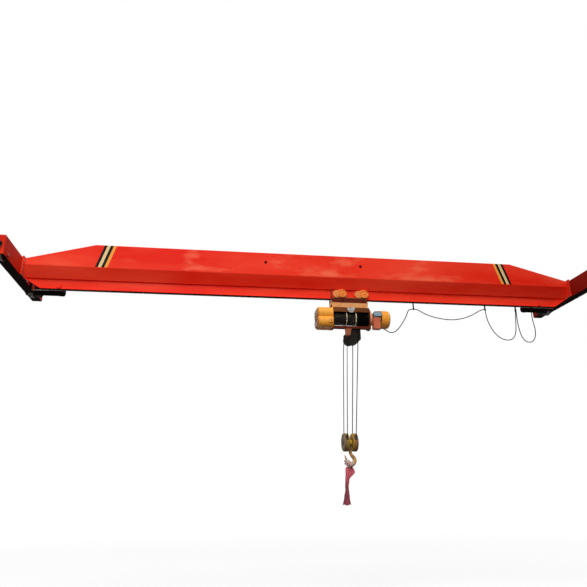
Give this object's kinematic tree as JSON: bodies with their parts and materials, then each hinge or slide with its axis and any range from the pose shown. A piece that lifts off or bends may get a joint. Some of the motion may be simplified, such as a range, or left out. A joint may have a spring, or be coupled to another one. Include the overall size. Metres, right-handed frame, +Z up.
{
  "type": "overhead bridge crane",
  "caption": "Single girder overhead travelling crane with tapered box girder, end carriages, rope hoist on an underslung trolley, hook block and festoon cable.",
  "frame": {"origin": "where the front wheel of the left end carriage stands on its rail: rail centre in X, wheel axle in Y, rail top in Z", "axes": "+X along the girder towards the other rail, +Y along the rail, +Z up"},
  "size_m": [15.336, 3.464, 6.345],
  "materials": {
    "girder_paint": "satin",
    "dark_steel": "satin",
    "end_plate_paint": "satin",
    "rubber": "matte",
    "wheel_steel": "worn",
    "trolley_paint": "satin",
    "beam_paint": "satin",
    "frame_paint": "satin",
    "lug_steel": "satin",
    "drum_steel": "greasy",
    "guide_steel": "worn",
    "hoist_paint": "gloss",
    "control_paint": "satin",
    "cover_plastic": "satin",
    "anchor_paint": "worn",
    "block_paint": "worn",
    "sheave_steel": "greasy",
    "hook_steel": "worn",
    "rope_steel": "greasy",
    "cable_rubber": "matte",
    "carrier_steel": "satin",
    "ribbon_cloth": "matte"
  },
  "bodies": {
    "bridge": {"girder_channel": "girder_paint", "girder_webs": "girder_paint", "running_beam": "girder_paint", "beam_end_plates": "end_plate_paint", "girder_flanges": "girder_paint", "trolley_stops": "dark_steel", "end_carriage_left": "girder_paint", "end_carriage_right": "girder_paint", "wheel_cartridges": "dark_steel", "travel_reducers": "dark_steel", "travel_motors": "dark_steel", "buffer_seats": "dark_steel", "buffers": "rubber", "wire_brackets": "dark_steel", "festoon_wire": "lug_steel", "festoon_span_2": "cable_rubber", "festoon_span_3": "cable_rubber"},
    "trolley": {"trolley_sides": "trolley_paint", "trolley_pins": "trolley_paint", "trolley_tie_rods": "frame_paint", "trolley_beam": "beam_paint", "trolley_drive": "dark_steel", "hoist_end_plates": "beam_paint", "hoist_saddle": "frame_paint", "hoist_tie_bars": "frame_paint", "suspension_lug": "lug_steel", "rope_guide": "guide_steel", "gear_housing": "hoist_paint", "hoist_motor": "hoist_paint", "control_box": "control_paint", "junction_cover": "cover_plastic", "rope_anchor": "anchor_paint", "upper_sheave_cheeks": "drum_steel", "rope_falls": "rope_steel", "festoon_lead": "cable_rubber", "festoon_span_1": "cable_rubber"},
    "rope_drum": {"rope_drum": "drum_steel"},
    "upper_sheave": {"upper_sheave": "drum_steel"},
    "hook_block": {"block_guards": "block_paint", "block_yoke": "block_paint", "block_pin": "block_paint", "block_rope": "rope_steel"},
    "block_sheave_left": {"block_sheave_left": "sheave_steel"},
    "block_sheave_right": {"block_sheave_right": "sheave_steel"},
    "hook": {"hook": "hook_steel", "hook_ribbon": "ribbon_cloth"},
    "trolley_wheels_left": {"trolley_wheels_left": "trolley_paint"},
    "trolley_wheels_right": {"trolley_wheels_right": "trolley_paint"},
    "festoon_carrier_1": {"festoon_carrier_1": "carrier_steel"},
    "festoon_carrier_2": {"festoon_carrier_2": "carrier_steel"},
    "festoon_carrier_3": {"festoon_carrier_3": "carrier_steel"},
    "travel_wheel_left_front": {"travel_wheel_left_front": "wheel_steel"},
    "travel_wheel_left_back": {"travel_wheel_left_back": "wheel_steel"},
    "travel_wheel_right_front": {"travel_wheel_right_front": "wheel_steel"},
    "travel_wheel_right_back": {"travel_wheel_right_back": "wheel_steel"}
  },
  "joints": [
    {"name": "travel_wheel_left_front_roll", "type": "hinge", "parent": "bridge", "child": "travel_wheel_left_front", "pos_m": [0, 0, 0.135], "axis": [1, 0, 0], "continuous": true},
    {"name": "travel_wheel_left_back_roll", "type": "hinge", "parent": "bridge", "child": "travel_wheel_left_back", "pos_m": [0, 2.5, 0.135], "axis": [1, 0, 0], "continuous": true},
    {"name": "travel_wheel_right_front_roll", "type": "hinge", "parent": "bridge", "child": "travel_wheel_right_front", "pos_m": [15, 0, 0.135], "axis": [1, 0, 0], "continuous": true},
    {"name": "travel_wheel_right_back_roll", "type": "hinge", "parent": "bridge", "child": "travel_wheel_right_back", "pos_m": [15, 2.5, 0.135], "axis": [1, 0, 0], "continuous": true},
    {"name": "trolley_travel", "type": "slide", "parent": "bridge", "child": "trolley", "axis": [1, 0, 0], "range_m": [-6.9, 4.9], "deforming": ["festoon_lead", "festoon_span_1", "festoon_span_2", "festoon_span_3"]},
    {"name": "hook_lift", "type": "slide", "parent": "trolley", "child": "hook_block", "axis": [0, 0, 1], "range_m": [-1.5, 1.8], "deforming": ["rope_falls"]},
    {"name": "hook_swivel", "type": "hinge", "parent": "hook_block", "child": "hook", "pos_m": [8.315, 1.25, -3.93], "axis": [0, 0, 1], "continuous": true},
    {"name": "trolley_wheels_left_roll", "type": "hinge", "parent": "trolley", "child": "trolley_wheels_left", "pos_m": [8.269, 1.25, -0.075], "axis": [0, 1, 0], "continuous": true},
    {"name": "trolley_wheels_right_roll", "type": "hinge", "parent": "trolley", "child": "trolley_wheels_right", "pos_m": [8.869, 1.25, -0.075], "axis": [0, 1, 0], "continuous": true},
    {"name": "drum_turn", "type": "hinge", "parent": "trolley", "child": "rope_drum", "pos_m": [8.46, 1.25, -0.745], "axis": [1, 0, 0], "continuous": true},
    {"name": "upper_sheave_turn", "type": "hinge", "parent": "trolley", "child": "upper_sheave", "pos_m": [8.45, 1.44, -1.3], "axis": [0, 1, 0], "continuous": true},
    {"name": "block_sheave_left_turn", "type": "hinge", "parent": "hook_block", "child": "block_sheave_left", "pos_m": [8.208, 1.25, -3.93], "axis": [1, 0, 0], "continuous": true},
    {"name": "block_sheave_right_turn", "type": "hinge", "parent": "hook_block", "child": "block_sheave_right", "pos_m": [8.422, 1.25, -3.93], "axis": [1, 0, 0], "continuous": true},
    {"name": "festoon_carrier_1_run", "type": "slide", "parent": "bridge", "child": "festoon_carrier_1", "axis": [1, 0, 0], "range_m": [-4.5205, 3.2105]},
    {"name": "festoon_carrier_2_run", "type": "slide", "parent": "bridge", "child": "festoon_carrier_2", "axis": [1, 0, 0], "range_m": [-1.657, 1.177]},
    {"name": "festoon_carrier_3_run", "type": "slide", "parent": "bridge", "child": "festoon_carrier_3", "axis": [1, 0, 0], "range_m": [-0.4633, 0.3293]}
  ],
  "couplings": [
    {"joint": "trolley_wheels_left_roll", "follows": "trolley_travel", "rad_per_m": 7.9177},
    {"joint": "trolley_wheels_right_roll", "follows": "trolley_travel", "rad_per_m": 7.9177},
    {"joint": "drum_turn", "follows": "hook_lift", "rad_per_m": -21.053},
    {"joint": "upper_sheave_turn", "follows": "hook_lift", "rad_per_m": 15.385},
    {"joint": "block_sheave_left_turn", "follows": "hook_lift", "rad_per_m": 5.2632},
    {"joint": "block_sheave_right_turn", "follows": "hook_lift", "rad_per_m": -15.79},
    {"joint": "festoon_carrier_1_run", "follows": "trolley_travel", "ratio": 0.655},
    {"joint": "festoon_carrier_2_run", "follows": "trolley_travel", "ratio": 0.24},
    {"joint": "festoon_carrier_3_run", "follows": "trolley_travel", "ratio": 0.067}
  ]
}
